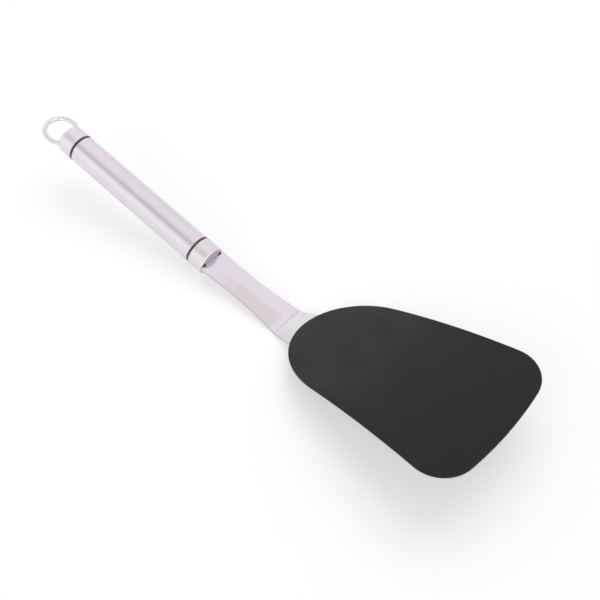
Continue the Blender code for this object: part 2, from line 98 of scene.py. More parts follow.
def arcPoints(centreX, centreY, radius, start, end, count):
    # points on an arc, both ends included; angles in degrees from +x
    angles = [math.radians(start + (end - start) * i / count) for i in range(count + 1)]
    return [(centreX + radius * math.cos(a), centreY + radius * math.sin(a)) for a in angles]


def skin(shape, rings, joined=False, caps=True):
    # closed rings with the same count of points, linked by quads; joined links the last to the first
    rows = [[shape.verts.new(p) for p in ring] for ring in rings]
    pairs = list(zip(rows, rows[1:]))
    if joined:
        pairs.append((rows[-1], rows[0]))
    for first, second in pairs:
        for i in range(len(first)):
            j = (i + 1) % len(first)
            shape.faces.new((first[i], first[j], second[j], second[i]))
    if caps and not joined:
        shape.faces.new(rows[0])
        shape.faces.new(rows[-1])
    return rows


def fullTurn(count):
    # evenly spaced angles round a circle
    return [2 * math.pi * i / count for i in range(count)]


def turn(profile, joined=False):
    # turns (radius, y) points about the handle's axis
    shape = bmesh.new()
    spin = fullTurn(facets["turned"])
    rings = [[(r * math.cos(a), y, r * math.sin(a)) for a in spin] for r, y in profile]
    skin(shape, rings, joined)
    return shape


def finishMesh(name, shape, sharpAngle):
    bmesh.ops.recalc_face_normals(shape, faces=shape.faces)
    bmesh.ops.scale(shape, vec=(mm, mm, mm), verts=shape.verts)
    bmesh.ops.transform(shape, matrix=handleSpace, verts=shape.verts)
    mesh = bpy.data.meshes.new(name)
    shape.to_mesh(mesh)
    shape.free()
    mesh.shade_smooth()
    mesh.set_sharp_from_angle(angle=math.radians(sharpAngle))
    return mesh


def addPiece(name, shape, finish, node, sharpAngle=sharp["plain"]):
    mesh = finishMesh(name, shape, sharpAngle)
    mesh.materials.append(finish)
    piece = bpy.data.objects.new(name, mesh)
    bpy.context.scene.collection.objects.link(piece)
    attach(piece, "root")
    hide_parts(node)
    return piece


def cutAway(piece, cutterShapes, sharpAngle=sharp["cut"]):
    # takes each cutter out of the piece and keeps the result as its mesh
    finish = piece.data.materials[0]
    cutters = []
    for shape in cutterShapes:
        cutter = bpy.data.objects.new("cutter", finishMesh("cutter", shape, sharpAngle))
        bpy.context.scene.collection.objects.link(cutter)
        cutters.append(cutter)
        step = piece.modifiers.new("cut", "BOOLEAN")
        step.object = cutter
        step.operation = "DIFFERENCE"
        step.solver = "EXACT"
    depsgraph = bpy.context.evaluated_depsgraph_get()
    mesh = bpy.data.meshes.new_from_object(piece.evaluated_get(depsgraph))
    piece.modifiers.clear()
    piece.data = mesh
    mesh.name = piece.name
    mesh.materials.clear()
    mesh.materials.append(finish)
    mesh.shade_smooth()
    mesh.set_sharp_from_angle(angle=math.radians(sharpAngle))
    for cutter in cutters:
        bpy.data.objects.remove(cutter, do_unlink=True)


def boxShape(low, high):
    # a block between two opposite corners
    shape = bmesh.new()
    corners = [(low[0], low[2]), (high[0], low[2]), (high[0], high[2]), (low[0], high[2])]
    skin(shape, [[(x, y, z) for x, z in corners] for y in (low[1], high[1])])
    return shape


def rodShape(centre, radius, low, high, axis):
    # a round rod along the handle (axis "y") or across it (axis "z")
    shape = bmesh.new()
    spin = fullTurn(facets["rod"])
    around = [(centre[0] + radius * math.cos(a), centre[1] + radius * math.sin(a)) for a in spin]
    if axis == "y":
        rings = [[(x, end, z) for x, z in around] for end in (low, high)]
    else:
        rings = [[(x, y, end) for x, y in around] for end in (low, high)]
    skin(shape, rings)
    return shape


def linear(hexColour):
    # sRGB hex to the linear colour that Blender works in
    channels = [int(hexColour[i:i + 2], 16) / 255 for i in (1, 3, 5)]
    turned = [c / 12.92 if c <= 0.04045 else ((c + 0.055) / 1.055) ** 2.4 for c in channels]
    return (*turned, 1)


def addNode(tree, kind, inputs=None, **settings):
    # a node with its settings; an input is a plain value or another node's output
    made = tree.nodes.new(kind)
    for name, value in settings.items():
        setattr(made, name, value)
    for name, value in (inputs or {}).items():
        if isinstance(value, bpy.types.NodeSocket):
            tree.links.new(value, made.inputs[name])
        else:
            made.inputs[name].default_value = value
    return made


def startMaterial(name):
    made = bpy.data.materials.new(name)
    made.use_nodes = True
    made.node_tree.nodes.clear()
    return made, made.node_tree


def handlePattern(tree, size):
    # coordinates that follow the tilted handle; size is the pattern's own, in mm along x, y and z
    place = addNode(tree, "ShaderNodeTexCoord")
    return addNode(tree, "ShaderNodeMapping", {
        "Vector": place.outputs["Object"], "Location": handleSpace.translation,
        "Rotation": handleSpace.to_euler(), "Scale": [s * mm for s in size]},
        vector_type="TEXTURE").outputs["Vector"]


# Real polishing lines and mould grain are 0.02 to 0.1 mm apart, which is too fine to show. So every line
# and grain is drawn 0.5 to 0.9 mm apart, about a pixel of the render, and very shallow.
satinTubeLook = {
    "colour": "#E6E1E7", "shade": "#DED8DF", "cloud": 12.0, "roughness": (0.25, 0.32),
    "line": 0.5, "lineLength": 14.0, "depth": 0.0016,         # a belt's lines are really 0.05 mm apart
}
wireLook = {
    "colour": "#E5E7E5", "shade": "#DBDDDB", "cloud": 9.0, "roughness": (0.12, 0.18),
    "line": 0.6, "lineLength": 9.0, "depth": 0.0012,          # drawing lines, really 0.02 mm apart
}
capLook = {
    "colour": "#EAE7EA", "shade": "#E0DCE0", "cloud": 6.0, "roughness": (0.32, 0.4),
    "line": 0.6, "lineLength": 9.0, "depth": 0.0012,          # brushed lines, really 0.05 mm apart
}
ferruleLook = {
    "colour": "#EBE8EA", "shade": "#DED9DB", "cloud": 5.0, "roughness": (0.36, 0.44),
    "line": 0.6, "lineLength": 9.0, "depth": 0.0015,          # brushed lines, really 0.05 mm apart
    "cut": "#C6C0C8", "cutAxis": 1,       # painted shade: its front face is coloured darker than the rest
}
neckLook = {
    "colour": "#E4E0E6", "shade": "#DEDAE0", "cloud": 16.0, "roughness": (0.15, 0.22),
    "line": 0.7, "lineLength": 22.0, "depth": 0.0015,         # polishing lines, really 0.03 mm apart
    # each pair says where a tone starts and where it is full, in mm
    # painted reflection: the warm tone stands in for a warm reflection along the strip's right half
    "warmReflection": "#DAD2D2", "warmRight": (6.5, 11.0), "warmAhead": (2.0, 32.0), "warmEnd": (61.0, 55.0),
    "lean": 0.11, "patch": (9.0, 20.0, 9.0), "sway": 9.0,     # the warm side's edge leans over and wanders
    # these pairs are measured from the bend
    "crease": "#D9D3DA", "creaseShadeStart": (-3.0, -1.0), "creaseShadeEnd": (0.8, -1.0),     # painted shade along the crease of the bend
    # painted reflection past the bend, with painted shade growing towards +x
    "spade": "#DFE0E0", "spadePaintedShade": "#D0D1D1", "spadeStart": (-1.2, 2.0), "spadeRight": (-4.0, 14.0),
    "cut": "#CBC3C8", "cutAxis": 0,       # painted shade: its sides are coloured darker than the rest
}
springLook = {
    "colour": "#C9C7C8", "shade": "#B5B2B3", "cloud": 6.0, "roughness": (0.3, 0.42),
    "line": 0.8, "lineLength": 30.0, "depth": 0.003,          # rolling lines, really 0.1 mm apart
}
nylonLook = {
    "colour": "#403A40", "shade": "#484248", "roughness": (0.38, 0.5),
    "grain": 0.8, "depth": 0.01,          # a spark-eroded mould's grain is really 0.05 mm wide
}
siliconeLook = {
    "colour": "#0C0C0C", "shade": "#1F1F1E", "roughness": (0.44, 0.54),
    "cloud": 16.0, "patches": (0.25, 0.75),     # faint mottling; a narrower pair makes harder patches
    "grain": 0.9, "depth": 0.005,         # a blasted mould's grain is really 0.1 mm wide
    "front": "#040407", "frontShadePart": (100.0, 168.0),     # painted shade: over this distance in front of the ferrule the blade is coloured darker
}
paintedShadeFacing = (0.7, 0.97)      # cosines: faces this square to the axis start to take the painted shade, and fully do


def fadeTone(tree, tone, other, *spans):
    # one tone turns into the other, with soft ends; where there are several spans, all have to be reached
    shares = [
        addNode(tree, "ShaderNodeMapRange", {"Value": value, "From Min": start, "From Max": full},
                interpolation_type="SMOOTHSTEP").outputs[0]
        for value, start, full in spans]
    share = shares[0]
    for more in shares[1:]:
        share = addNode(tree, "ShaderNodeMath", {0: share, 1: more}, operation="MULTIPLY").outputs[0]
    return addNode(tree, "ShaderNodeMix", {"Factor": share, 6: tone, 7: other}, data_type="RGBA").outputs[2]


def finishSurface(tree, look, pattern, tone, relief, same):
    # the fine pattern, mostly between 0.3 and 0.7, sets roughness and relief; same holds what never varies
    low, high = look["roughness"]
    rough = addNode(tree, "ShaderNodeMapRange", {
        "Value": pattern, "From Min": 0.3, "From Max": 0.7, "To Min": low, "To Max": high})
    bump = addNode(tree, "ShaderNodeBump", {
        "Height": pattern, "Strength": relief, "Distance": look["depth"] * mm})
    shader = addNode(tree, "ShaderNodeBsdfPrincipled", {
        "Base Color": tone, "Roughness": rough.outputs["Result"], "Normal": bump.outputs["Normal"], **same})
    addNode(tree, "ShaderNodeOutputMaterial", {"Surface": shader.outputs[0]})


def stripPaintedReflectionAndShade(tree, plain, look):
    # the strip is lilac near the handle; a painted warm reflection lies along its right half, a plain grey
    # painted reflection past the bend with painted shade towards +x there, and a painted shade along the
    # bend's crease
    place = addNode(tree, "ShaderNodeSeparateXYZ", {0: handlePattern(tree, (1, 1, 1))})
    across, along = place.outputs["X"], place.outputs["Y"]
    patches = addNode(tree, "ShaderNodeTexNoise", {
        "Vector": handlePattern(tree, look["patch"]), "Scale": 1.0, "Detail": 2.0})
    right = addNode(tree, "ShaderNodeMath", {
        0: along, 1: look["lean"], 2: across}, operation="MULTIPLY_ADD")
    right = addNode(tree, "ShaderNodeMath", {
        0: patches.outputs["Fac"], 1: look["sway"], 2: right.outputs[0]}, operation="MULTIPLY_ADD")
    tone = fadeTone(
        tree, plain, linear(look["warmReflection"]), (right.outputs[0], *look["warmRight"]),
        (along, *look["warmAhead"]), (along, *look["warmEnd"]))
    bendAt, _ = pathPoint(neck["bendAt"])
    spadeStart, creaseShadeStart, creaseShadeEnd = [
        (along, bendAt + look[name][0], bendAt + look[name][1])
        for name in ("spadeStart", "creaseShadeStart", "creaseShadeEnd")]
    # painted reflection past the bend, with painted shade growing towards +x
    flat = fadeTone(tree, linear(look["spade"]), linear(look["spadePaintedShade"]), (across, *look["spadeRight"]))
    tone = fadeTone(tree, tone, flat, spadeStart)
    # painted shade along the bend's crease
    return fadeTone(tree, tone, linear(look["crease"]), creaseShadeStart, creaseShadeEnd)


def paintedShadeByFacing(tree, plain, look):
    # painted shade: faces that look along one of handle space's axes are coloured darker than the rest
    axis = handleSpace.to_3x3().col[look["cutAxis"]]
    normal = addNode(tree, "ShaderNodeNewGeometry").outputs["Normal"]
    facing = addNode(tree, "ShaderNodeVectorMath", {0: normal, 1: axis}, operation="DOT_PRODUCT")
    facing = addNode(tree, "ShaderNodeMath", {0: facing.outputs["Value"]}, operation="ABSOLUTE")
    return fadeTone(tree, plain, linear(look["cut"]), (facing.outputs[0], *paintedShadeFacing))


def groundSteel(name, look, across):
    # Stainless or spring steel, ground, drawn or polished in lines, round the handle where across is true.
    # The eye sees soft wide reflections drawn out along the lines, and slow faint changes of tone.
    made, tree = startMaterial(name)
    fine, slow = look["line"], look["lineLength"]
    lines = addNode(tree, "ShaderNodeTexNoise", {
        "Vector": handlePattern(tree, (slow, fine, slow) if across else (fine, slow, fine)),
        "Scale": 1.0, "Detail": 3.0, "Roughness": 0.6})
    clouds = addNode(tree, "ShaderNodeTexNoise", {
        "Vector": handlePattern(tree, [look["cloud"]] * 3), "Scale": 1.0, "Detail": 2.0})
    tone = addNode(tree, "ShaderNodeMix", {
        "Factor": clouds.outputs["Fac"], 6: linear(look["colour"]), 7: linear(look["shade"])},
        data_type="RGBA").outputs[2]
    # painted reflections and painted crease shade on the strip
    if "warmReflection" in look:
        tone = stripPaintedReflectionAndShade(tree, tone, look)
    # painted shade on the faces square to the look's axis
    if "cut" in look:
        tone = paintedShadeByFacing(tree, tone, look)
    finishSurface(tree, look, lines.outputs["Fac"], tone, relief=0.5, same={"Metallic": 1.0})
    return made


def mouldedNylon(name, look):
    # Black nylon, moulded in a fine spark-eroded mould: a dark dull ring with a faint soft shine.
    made, tree = startMaterial(name)
    grain = addNode(tree, "ShaderNodeTexNoise", {
        "Vector": handlePattern(tree, [look["grain"]] * 3), "Scale": 1.0, "Detail": 3.0})
    tone = addNode(tree, "ShaderNodeMix", {
        "Factor": grain.outputs["Fac"], 6: linear(look["colour"]), 7: linear(look["shade"])},
        data_type="RGBA").outputs[2]
    finishSurface(tree, look, grain.outputs["Fac"], tone, relief=0.5, same={"IOR": 1.53})
    return made


def mouldedSilicone(name, look):
    # Black silicone rubber, pressed in a blasted mould: near black itself, so nearly all that the eye
    # sees is a soft grey sheen that brightens where the blade turns away, faintly mottled at the heel.
    made, tree = startMaterial(name)
    grain = addNode(tree, "ShaderNodeTexNoise", {
        "Vector": handlePattern(tree, [look["grain"]] * 3), "Scale": 1.0, "Detail": 4.0})
    clouds = addNode(tree, "ShaderNodeTexNoise", {
        "Vector": handlePattern(tree, [look["cloud"]] * 3), "Scale": 1.0, "Detail": 2.0})
    tone = fadeTone(
        tree, linear(look["colour"]), linear(look["shade"]), (clouds.outputs["Fac"], *look["patches"]))
    place = addNode(tree, "ShaderNodeSeparateXYZ", {0: handlePattern(tree, (1, 1, 1))})
    # painted shade: the blade grows darker towards its front
    tone = fadeTone(tree, tone, linear(look["front"]), (place.outputs["Y"], *look["frontShadePart"]))
    finishSurface(tree, look, grain.outputs["Fac"], tone, relief=0.4, same={"IOR": 1.41})
    return made


def makeHandleTube():
    outside = tube["radius"]
    inside = outside - tube["wall"]
    edge = tube["edge"]
    front = -frontBandAt - band["width"] / 2 - band["gap"]
    back = front - tube["length"]
    profile = arcPoints(outside - edge, front - edge, edge, 90, 0, facets["edge"])
    profile += arcPoints(outside - edge, back + edge, edge, 0, -90, facets["edge"])
    profile += [(inside, back), (inside, front)]
    addPiece("handleTube", turn(profile, joined=True), satinTubeSteel, "handle_tube")


frontPlug = {"inTube": 20.0, "boreReach": 12.0}     # the pin bore's cutter reaches this far each way
tailPlug = {"inTube": 11.0, "inCap": 9.3, "sleeve": 1.4}


def plugProfile(flangeAt, innerLength, outerLength, sleeve):
    # a plug inside the tube with a flange that shows as a band; a sleeve makes its front end hollow
    radius = min(tube["radius"] - tube["wall"], ferrule["radius"] - ferrule["wall"]) - band["gap"]
    flange = tube["radius"] - band["recess"]
    half = band["width"] / 2 + band["gap"] - band["clear"]
    edge = band["edge"]
    front = innerLength - flangeAt
    back = -outerLength - flangeAt
    profile = [(axisRing, front)]
    if sleeve:
        bore = radius - sleeve
        profile = [(axisRing, half - flangeAt), (bore, half - flangeAt), (bore, front)]
    profile += [(radius, front), (radius, half - flangeAt)]
    profile += arcPoints(flange - edge, -flangeAt + half - edge, edge, 90, 0, facets["flange"])
    profile += arcPoints(flange - edge, -flangeAt - half + edge, edge, 0, -90, facets["flange"])
    profile += [(radius, -flangeAt - half), (radius, back), (axisRing, back)]
    return profile


# lengths along the strip are measured from the ferrule's face, and rise and bendAngle are in degrees
neck = {
    "thickness": 1.995, "height": 2.1, "edge": 0.35,
    "rise": 3.3, "riseStart": 1.5, "riseRadius": 25.0,
    "tangLength": 30.0, "tangHalfWidth": 5.0, "notchWidth": 3.2, "notchDepth": 0.9,
    "shoulderAt": 0.06, "shoulderHalfWidth": 9.8, "shoulderRadius": 1.0,
    "waistHalfWidth": 8.93, "waistAt": 23.0,
    "narrowFrom": 2.0, "narrowStep": 1.5,     # the stations between shoulder and waist
    "bendHalfWidth": 11.55, "spadeHalfWidth": 13.5,
    "bendAt": 63.7, "bendRadius": 7.0, "bendAngle": 31.8, "spadeLength": 43.0,
    "spadeEnd": 87,       # degrees; the round end stops short of a point, so that a flat face closes it
    "pinAt": 22.0, "pinRadius": 1.5,
}


def tangSlot(wide, back):
    # a flat cutter for the tang, with the gap above and below, and the height of its middle
    middle = neck["height"] - neck["thickness"] / 2
    tall = neck["thickness"] / 2 + band["gap"]
    return boxShape((-wide, back - overrun, middle - tall), (wide, overrun, middle + tall)), middle


def makeFerrule():
    outside = ferrule["radius"]
    inside = outside - ferrule["wall"]
    rim = ferrule["rim"]
    back = -ferrule["length"]
    face = -ferrule["face"]
    edge = ferrule["mouthEdge"]
    profile = [(axisRing, 0)] + arcPoints(outside - rim, -rim, rim, 90, 0, facets["ferruleRim"])
    profile += arcPoints(outside - edge, back + edge, edge, 0, -90, facets["edge"])
    profile += [(inside, back), (inside, face), (axisRing, face)]
    piece = addPiece(
        "ferruleCup", turn(profile), ferruleSteel, "ferrule", sharp["cut"])
    wide = ferrule["slotHalfWidth"]
    end = ferrule["slotEndRadius"]
    slot, middle = tangSlot(wide - end, face)
    cutters = [slot]
    for side in (-1, 1):
        place = (side * (wide - end / 2), middle)
        cutters.append(rodShape(place, end, face - overrun, overrun, "y"))
    cutAway(piece, cutters)


def makeFrontPlug():
    inTube = frontPlug["inTube"] + band["width"] / 2
    inFerrule = frontBandAt - ferrule["face"] - band["gap"]
    profile = plugProfile(frontBandAt, inFerrule, inTube, 0)
    piece = addPiece(
        "frontPlug", turn(profile), blackNylon, "front_plug", sharp["cut"])
    slot, _ = tangSlot(neck["tangHalfWidth"] + band["gap"], -frontBandAt - inTube)
    reach = frontPlug["boreReach"]
    bore = rodShape((0, -neck["pinAt"]), neck["pinRadius"] + band["gap"], -reach, reach, "z")
    cutAway(piece, [slot, bore])


cap = {"length": 12.7, "shoulder": 3.8, "dome": 0.5, "wall": 1.0, "endWall": 1.2, "mouthEdge": 0.2}
loop = {
    "wire": 1.6, "clear": 0.04,           # the wire's radius and the clearance of its holes
    "radius": 10.28, "reach": 19.83,      # reach is from the rear band to the ring's middle
    "openAngle": 58.0,                    # where the ring opens, in degrees from the handle's axis
    "run": 3.3, "legBend": 4.0, "leg": 6.2,
}


def wirePath():
    # the wire's centre line, as (x, y): a ring, a short straight run inward and a leg along the handle
    centre = -rearBandAt - loop["reach"]
    heading = 90 - loop["openAngle"]
    sine, cosine = math.sin(math.radians(heading)), math.cos(math.radians(heading))
    right = arcPoints(0, centre, loop["radius"], -90, heading, facets["loopRing"])
    x, y = right[-1]
    x -= loop["run"] * sine
    y += loop["run"] * cosine
    bend = loop["legBend"]
    right += arcPoints(
        x + bend * cosine, y + bend * sine, bend, 180 + heading, 180, facets["loopBend"])
    x, y = right[-1]
    right.append((x, y + loop["leg"]))
    return [(-x, y) for x, y in reversed(right[1:])] + right


def wireShape(radius):
    shape = bmesh.new()
    path = [Vector((x, y, 0)) for x, y in wirePath()]
    spin = fullTurn(facets["wire"])
    rings = []
    for i, point in enumerate(path):
        ahead = path[min(i + 1, len(path) - 1)] - path[max(i - 1, 0)]
        side = Vector((ahead.y, -ahead.x, 0)).normalized()
        rings.append([point + radius * (side * math.cos(a) + Vector((0, 0, math.sin(a)))) for a in spin])
    skin(shape, rings)
    return shape


def makeHangingLoop():
    addPiece("hangingLoop", wireShape(loop["wire"]), wireSteel, "hanging_loop")


def makeTailCap():
    outside = ferrule["radius"]
    inside = outside - cap["wall"]
    mouth = -capMouthAt
    tip = mouth - cap["length"]
    shoulder = cap["shoulder"]
    flat = outside - shoulder
    domeRadius = (flat ** 2 + cap["dome"] ** 2) / (2 * cap["dome"])
    domeHalf = math.degrees(math.asin(flat / domeRadius))
    end = tip + cap["dome"]
    inner = shoulder - cap["wall"]
    floor = end + cap["endWall"]
    edge = cap["mouthEdge"]
    profile = [(axisRing, floor)]
    profile += arcPoints(inside - inner, floor + inner, inner, -90, 0, facets["capInside"])
    profile.append((inside, mouth))
    profile += arcPoints(outside - edge, mouth - edge, edge, 90, 0, facets["edge"])
    profile += arcPoints(outside - shoulder, end + shoulder, shoulder, 0, -90, facets["capShoulder"])
    dome = arcPoints(0, tip + domeRadius, domeRadius, -90 + domeHalf, -90, facets["capDome"])
    profile += dome[1:-1] + [(axisRing, tip)]
    piece = addPiece("tailCap", turn(profile), capSteel, "tail_cap", sharp["cut"])
    cutAway(piece, [wireShape(loop["wire"] + loop["clear"])])


def makeTailPlug():
    half = band["width"] / 2
    profile = plugProfile(
        rearBandAt, tailPlug["inTube"] + half, tailPlug["inCap"] + half, tailPlug["sleeve"])
    piece = addPiece("tailPlug", turn(profile), blackNylon, "tail_plug", sharp["cut"])
    cutAway(piece, [wireShape(loop["wire"] + loop["clear"])])


# the blade's lengths are measured from the crease of the neck's bend, and its heights from the strip's
# top; flare and tipAngle are in degrees
blade = {
    "heel": 11.0, "tip": 154.6, "halfWidth": 47.45,
    "heelRadius": 37.2, "heelStretch": 1.357,       # across; the heel is half an ellipse
    "flare": 8.1, "corner": 20.3, "frontRise": 5.0,
    "tipAngle": 14.2, "bottom": -0.55, "top": 1.64, "edge": 0.8,
    "bossMargin": 4.5, "bossDrop": 2.75, "bossEdge": 0.9, "bossFillet": 2.0,
    "cell": 2.0, "wideCell": 4.0,                   # the mesh's cells along and across the blade
    "bossCell": 1.0, "shortBossCell": 0.5,          # across and along, round the raised housing
    "cellMargin": 1.0,                              # how far these cells reach past the housing
    "flatInset": 0.5,                               # how far in from the rounded edge the flat faces start
}


def findCurves():
    # the strip's curved stretches: start, end and the slope at both ends
    rise, bend, tip = [math.radians(a) for a in (neck["rise"], neck["bendAngle"], blade["tipAngle"])]
    setback = neck["bendRadius"] * math.tan((bend - rise) / 2)
    bendStart = neck["bendAt"] - setback
    bendEnd = bendStart + neck["bendRadius"] * (bend - rise)
    crease = bendEnd - setback      # where the crease lies, measured back along the strip from the blade
    found = [
        (neck["riseStart"], neck["riseStart"] + neck["riseRadius"] * rise, 0.0, rise),
        (bendStart, bendEnd, rise, bend),
        (crease + neck["spadeLength"], crease + blade["tip"], bend, tip),
    ]
    return found, crease


curves, crease = findCurves()


def pastCrease(distance):
    return crease + distance


def slope(along):
    # the strip's angle to the handle: flat, risen a little, bent up, then bowed over
    angle = 0.0
    for start, end, before, after in curves:
        if along > start:
            angle = before + (after - before) * min((along - start) / (end - start), 1)
    return angle


def pathPoint(along):
    # where the strip's top face lies at a length along it, as (y, z)
    y, z, reached, last = 0.0, neck["height"], 0.0, 0.0
    for start, end, before, after in curves:
        straight = min(along, start) - reached
        y += straight * math.cos(before)
        z += straight * math.sin(before)
        if along <= start:
            return y, z
        radius = (end - start) / (after - before)
        here = slope(min(along, end))
        y += radius * (math.sin(here) - math.sin(before))
        z += radius * (math.cos(before) - math.cos(here))
        if along <= end:
            return y, z
        reached, last = end, after
    return y + (along - reached) * math.cos(last), z + (along - reached) * math.sin(last)


def bent(x, along, height):
    # moves a point of the flat shape on to the bent path
    y, z = pathPoint(along)
    angle = slope(along)
    return Vector((x, y - height * math.sin(angle), z + height * math.cos(angle)))


def neckStations():
    # (length along, half width) from the tang's end to the spade's round end
    shoulder = neck["shoulderHalfWidth"]
    corner = neck["shoulderRadius"]
    waist = neck["waistHalfWidth"]
    front = neck["shoulderAt"]
    stations = [(-neck["tangLength"], neck["tangHalfWidth"]), (front, neck["tangHalfWidth"])]
    corners = arcPoints(shoulder - corner, front + corner, corner, -90, 0, facets["neckShoulder"])
    stations += [(y, x) for x, y in corners]
    along = neck["narrowFrom"]
    while along < neck["waistAt"]:
        share = 1 - along / neck["waistAt"]
        stations.append((along, waist + (shoulder - waist) * share ** 2))
        along += neck["narrowStep"]
    for i in range(facets["neckSide"] + 1):
        share = i / facets["neckSide"]
        wide = waist + (neck["bendHalfWidth"] - waist) * share ** 2
        stations.append((neck["waistAt"] + (neck["bendAt"] - neck["waistAt"]) * share, wide))
    heel = pastCrease(blade["heel"])
    for i in range(1, facets["neckFlare"] + 1):
        share = i / facets["neckFlare"]
        wide = neck["bendHalfWidth"] + (neck["spadeHalfWidth"] - neck["bendHalfWidth"]) * share
        stations.append((neck["bendAt"] + (heel - neck["bendAt"]) * share, wide))
    end = pastCrease(neck["spadeLength"]) - neck["spadeHalfWidth"]
    spade = arcPoints(0, end, neck["spadeHalfWidth"], 0, neck["spadeEnd"], facets["spadeEnd"])
    return stations + [(y, x) for x, y in spade]


def makeNeck():
    shape = bmesh.new()
    edge = neck["edge"]
    bottom = -neck["thickness"]
    rings = []
    for along, wide in neckStations():
        corners = []
        for x, z, start in (
                (wide - edge, -edge, 90), (wide - edge, bottom + edge, 0),
                (edge - wide, bottom + edge, 270), (edge - wide, -edge, 180)):
            corners += arcPoints(x, z, edge, start, start - 90, facets["edge"])
        rings.append([bent(x, along, z) for x, z in corners])
    skin(shape, rings)
    piece = addPiece("neckStrip", shape, neckSteel, "neck", sharp["strip"])
    # round notches beside the tang
    wide, deep = neck["notchWidth"] / 2, neck["notchDepth"]
    notch = (wide ** 2 + deep ** 2) / (2 * deep)
    rods = []
    for side in (-1, 1):
        centre = (side * (neck["tangHalfWidth"] + wide), neck["shoulderAt"] + deep - notch)
        rods.append(rodShape(centre, notch, -overrun, neck["height"] + overrun, "z"))
    cutAway(piece, rods, sharp["strip"])


def bladeOutline():
    # the whole flat outline as (x, length along), from the heel's middle round to it again
    middle = pastCrease(blade["heel"]) + blade["heelStretch"] * blade["heelRadius"]
    last = -math.degrees(math.atan(blade["heelStretch"] * math.tan(math.radians(blade["flare"]))))
    half = []
    for x, y in arcPoints(0, 0, blade["heelRadius"], -90, last, facets["bladeHeel"]):
        half.append((x, middle + blade["heelStretch"] * y))
    front = (blade["halfWidth"] ** 2 + blade["frontRise"] ** 2) / (2 * blade["frontRise"])
    corner = blade["corner"]
    cornerX = blade["halfWidth"] - corner
    frontCentre = pastCrease(blade["tip"]) - front
    cornerY = frontCentre + math.sqrt((front - corner) ** 2 - cornerX ** 2)
    cornerEnd = math.degrees(math.atan2(cornerY - frontCentre, cornerX))
    corners = arcPoints(cornerX, cornerY, corner, -blade["flare"], cornerEnd, facets["bladeCorner"])
    (startX, startY), (endX, endY) = half[-1], corners[0]
    count = facets["bladeSide"]
    for i in range(1, count):
        half.append((startX + (endX - startX) * i / count, startY + (endY - startY) * i / count))
    half += corners + arcPoints(0, frontCentre, front, cornerEnd, 90, facets["bladeFront"])[1:]
    return half + [(-x, y) for x, y in reversed(half[1:-1])]


def insetOutline(outline, distance):
    # moves every point inward, square to the line through its two neighbours
    moved = []
    for i, (x, y) in enumerate(outline):
        beforeX, beforeY = outline[i - 1]
        afterX, afterY = outline[(i + 1) % len(outline)]
        run = Vector((afterX - beforeX, afterY - beforeY)).normalized()
        moved.append((x - run.y * distance, y + run.x * distance))
    return moved


def distanceTo(outline, x, y):
    return min(math.hypot(x - a, y - b) for a, b in outline)


def bossDrop(outline, x, along):
    # how far the underside drops round the spade, with a rounded foot
    reach = neck["spadeHalfWidth"] + blade["bossMargin"]
    end = pastCrease(neck["spadeLength"]) - neck["spadeHalfWidth"]
    nearest = min(max(along, pastCrease(0)), end)
    inside = reach - math.hypot(x, along - nearest)
    if inside <= 0:
        return 0.0
    inside = min(inside, distanceTo(outline, x, along) - blade["bossEdge"])
    share = min(max(inside / blade["bossFillet"], 0), 1)
    return blade["bossDrop"] * share * share * (3 - 2 * share)


def fillSide(shape, ring, xCuts, yCuts):
    # fills a flat ring and cuts the fill into cells that can bend
    parts = [shape.faces.new(ring)]
    for normal, cuts in (((1, 0, 0), xCuts), ((0, 1, 0), yCuts)):
        for place in cuts:
            around = set(parts)
            for part in parts:
                around.update(part.edges)
                around.update(part.verts)
            done = bmesh.ops.bisect_plane(
                shape, geom=list(around), dist=0.0001, plane_co=Vector(normal) * place, plane_no=normal)
            parts = [g for g in done["geom"] if isinstance(g, bmesh.types.BMFace)]


def makeBlade():
    shape = bmesh.new()
    outline = bladeOutline()
    edge = blade["edge"]
    top, bottom = blade["top"], blade["bottom"]
    count = facets["bladeEdge"]
    levels = [(edge + blade["flatInset"], top)]
    levels += [(edge - a, top - edge + b) for a, b in arcPoints(0, 0, edge, 90, 0, count)]
    levels += [(edge - a, bottom + edge + b) for a, b in arcPoints(0, 0, edge, 0, -90, count)]
    levels += [(edge + blade["flatInset"], bottom)]
    rings = [[(x, y, z) for x, y in insetOutline(outline, inset)] for inset, z in levels]
    rows = skin(shape, rings, caps=False)
    heel = min(y for x, y in outline)
    tip = max(y for x, y in outline)
    cell, wideCell = blade["cell"], blade["wideCell"]
    across = int(blade["halfWidth"] / wideCell)
    yCuts = [heel + cell * i for i in range(1, int((tip - heel) / cell) + 1)]
    xCuts = [wideCell * i for i in range(-across, across + 1)]
    fillSide(shape, rows[0], xCuts, yCuts)
    # finer cells on the underside, round the raised housing
    bossReach = neck["spadeHalfWidth"] + blade["bossMargin"] + blade["cellMargin"]
    bossEnd = pastCrease(neck["spadeLength"]) + blade["bossMargin"] + blade["cellMargin"]
    fine, short = blade["bossCell"], blade["shortBossCell"]
    across = int(bossReach / fine)
    fineX = [fine * i for i in range(-across, across + 1)]
    fineY = [heel + short * i for i in range(1, int((bossEnd - heel) / short))]
    coarseX = [x for x in xCuts if abs(x) > bossReach]
    coarseY = [y for y in yCuts if y > bossEnd]
    fillSide(shape, rows[-1], sorted(coarseX + fineX), fineY + coarseY)
    rim = {v for row in rows for v in row}
    for point in shape.verts:
        x, along, height = point.co
        if point not in rim and height < 0:
            height -= bossDrop(outline, x, along)
        point.co = bent(x, along, height)
    addPiece("bladeCover", shape, blackSilicone, "blade_cover", sharp["blade"])


